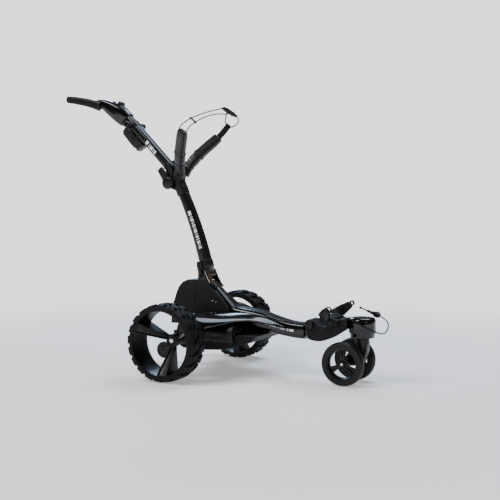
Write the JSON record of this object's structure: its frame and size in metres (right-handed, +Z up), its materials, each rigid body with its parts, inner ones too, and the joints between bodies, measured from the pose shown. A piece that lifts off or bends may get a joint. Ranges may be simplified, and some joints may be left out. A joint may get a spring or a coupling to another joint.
{
  "type": "electric golf trolley",
  "caption": "Folding electric golf trolley with driven rear wheels, twin front caster wheels, bag cradles, and a two-part mast with a console and swept grips.",
  "frame": {"origin": "on the ground, under the middle of the trolley's bounding box without its elastic cords", "axes": "+X forwards, towards the caster wheels; +Y to the left; +Z up"},
  "size_m": [1.1752, 0.59, 0.966],
  "materials": {
    "gloss_shell": "glossy moulded ABS, painted black",
    "matte_shell": "finely textured moulded plastic",
    "tube_satin": "satin powder coat on aluminium tube",
    "cast_black": "black coated casting",
    "rubber_tyre": "rubber",
    "rim_plastic": "glass-filled nylon, satin",
    "alloy": "extruded aluminium",
    "steel": "ground steel",
    "bright_cap": "turned aluminium",
    "grip_foam": "soft grip rubber",
    "elastic": "elastic cord in a woven sleeve",
    "display": "dark display window",
    "board_green": "circuit board laminate",
    "cell_wrap": "shrink sleeve on cells"
  },
  "bodies": {
    "chassis": {"spine_shell": "gloss_shell", "body_shell": "matte_shell", "chassis_beam": "alloy", "underpan": "matte_shell", "axle_bearings": "steel", "mast_socket": "cast_black", "pivot_pins": "steel", "control_board": "board_green", "anti_tip_arm": "cast_black", "wing_right": "gloss_shell", "wing_left": "gloss_shell", "gear_case_right": "cast_black", "gear_case_left": "cast_black", "motor_right": "cast_black", "motor_left": "cast_black", "front_arm": "matte_shell", "caster_head": "gloss_shell", "cradle_base": "matte_shell", "cradle_arms": "matte_shell", "lower_bungee": "elastic", "bungee_hook": "matte_shell"},
    "battery": {"battery_case": "matte_shell", "battery_cells": "cell_wrap"},
    "battery_latch": {"battery_latch": "matte_shell"},
    "wheel_right": {"tyre_right": "rubber_tyre", "rim_right": "rim_plastic", "drive_axle_right": "steel"},
    "wheel_left": {"tyre_left": "rubber_tyre", "rim_left": "rim_plastic", "drive_axle_left": "steel"},
    "button_right": {"release_button_right": "bright_cap"},
    "button_left": {"release_button_left": "bright_cap"},
    "rotor_right": {"rotor_right": "steel"},
    "rotor_left": {"rotor_left": "steel"},
    "caster": {"caster_fork": "matte_shell", "front_axle": "steel"},
    "front_wheel_right": {"front_tyre_right": "rubber_tyre", "front_rim_right": "rim_plastic"},
    "front_wheel_left": {"front_tyre_left": "rubber_tyre", "front_rim_left": "rim_plastic"},
    "anti_tip_wheel": {"anti_tip_wheel": "rubber_tyre"},
    "lower_mast": {"lower_tube": "tube_satin", "mast_foot": "cast_black", "yoke_hub": "cast_black", "fold_pin": "steel", "yoke_arm_right": "matte_shell", "yoke_arm_left": "matte_shell", "yoke_bungee": "elastic", "yoke_buckle": "matte_shell", "yoke_loop": "elastic", "yoke_strap": "elastic", "bungee_bridge": "matte_shell"},
    "handle": {"upper_tube": "tube_satin", "handle_knuckle": "cast_black", "console_body": "gloss_shell", "console_panel": "display", "grips": "grip_foam", "accessory_mount": "matte_shell", "remote_box": "matte_shell"},
    "fold_lever": {"fold_lever": "matte_shell"},
    "mast_latch": {"mast_latch": "matte_shell"},
    "speed_dial": {"speed_dial": "matte_shell"},
    "power_button": {"power_button": "matte_shell"}
  },
  "joints": [
    {"name": "wheel_right_spin", "type": "hinge", "parent": "chassis", "child": "wheel_right", "pos_m": [-0.05279, -0.2515, 0.127], "axis": [0, 1, 0], "continuous": true},
    {"name": "wheel_left_spin", "type": "hinge", "parent": "chassis", "child": "wheel_left", "pos_m": [-0.05279, 0.2515, 0.127], "axis": [0, 1, 0], "continuous": true},
    {"name": "rotor_right_spin", "type": "hinge", "parent": "chassis", "child": "rotor_right", "pos_m": [0.02721, -0.1, 0.145], "axis": [1, 0, 0], "continuous": true},
    {"name": "rotor_left_spin", "type": "hinge", "parent": "chassis", "child": "rotor_left", "pos_m": [0.02721, 0.1, 0.145], "axis": [1, 0, 0], "continuous": true},
    {"name": "button_right_press", "type": "slide", "parent": "wheel_right", "child": "button_right", "axis": [0, 1, 0], "range_m": [0, 0.004], "stiffness_N_per_m": 300},
    {"name": "button_left_press", "type": "slide", "parent": "wheel_left", "child": "button_left", "axis": [0, -1, 0], "range_m": [0, 0.004], "stiffness_N_per_m": 300},
    {"name": "caster_swivel", "type": "hinge", "parent": "chassis", "child": "caster", "pos_m": [0.52521, 0, 0.16], "axis": [0, 0, 1], "continuous": true},
    {"name": "front_wheel_right_spin", "type": "hinge", "parent": "caster", "child": "front_wheel_right", "pos_m": [0.48021, -0.055, 0.07], "axis": [0, 1, 0], "continuous": true},
    {"name": "front_wheel_left_spin", "type": "hinge", "parent": "caster", "child": "front_wheel_left", "pos_m": [0.48021, 0.055, 0.07], "axis": [0, 1, 0], "continuous": true},
    {"name": "anti_tip_spin", "type": "hinge", "parent": "chassis", "child": "anti_tip_wheel", "pos_m": [-0.22679, 0, 0.051], "axis": [0, 1, 0], "continuous": true},
    {"name": "mast_fold", "type": "hinge", "parent": "chassis", "child": "lower_mast", "pos_m": [-0.03879, 0, 0.332], "axis": [0, 1, 0], "range_deg": [0, 94]},
    {"name": "handle_fold", "type": "hinge", "parent": "lower_mast", "child": "handle", "pos_m": [-0.19072, 0, 0.65094], "axis": [0, 1, 0], "range_deg": [-136.5, 0]},
    {"name": "fold_lever_turn", "type": "hinge", "parent": "lower_mast", "child": "fold_lever", "pos_m": [-0.19072, 0, 0.65094], "axis": [0, 1, 0], "range_deg": [-100, 0]},
    {"name": "mast_latch_turn", "type": "hinge", "parent": "chassis", "child": "mast_latch", "pos_m": [-0.05679, -0.0312, 0.333], "axis": [0, 1, 0], "range_deg": [-50, 0]},
    {"name": "speed_dial_turn", "type": "hinge", "parent": "handle", "child": "speed_dial", "pos_m": [-0.41548, 0, 0.94062], "axis": [0.4524, 0, 0.8918], "range_deg": [0, 270]},
    {"name": "power_button_press", "type": "slide", "parent": "handle", "child": "power_button", "axis": [-0.36, 0, -0.933], "range_m": [0, 0.002], "stiffness_N_per_m": 400},
    {"name": "battery_slide", "type": "slide", "parent": "chassis", "child": "battery", "axis": [-1, 0, 0], "range_m": [0, 0.12]},
    {"name": "battery_latch_press", "type": "slide", "parent": "battery", "child": "battery_latch", "axis": [1, 0, 0], "range_m": [0, 0.003], "stiffness_N_per_m": 400}
  ],
  "couplings": [
    {"joint": "rotor_right_spin", "follows": "wheel_right_spin", "ratio": 20},
    {"joint": "rotor_left_spin", "follows": "wheel_left_spin", "ratio": -20},
    {"joint": "handle_fold", "follows": "mast_fold", "ratio": -1.45}
  ]
}
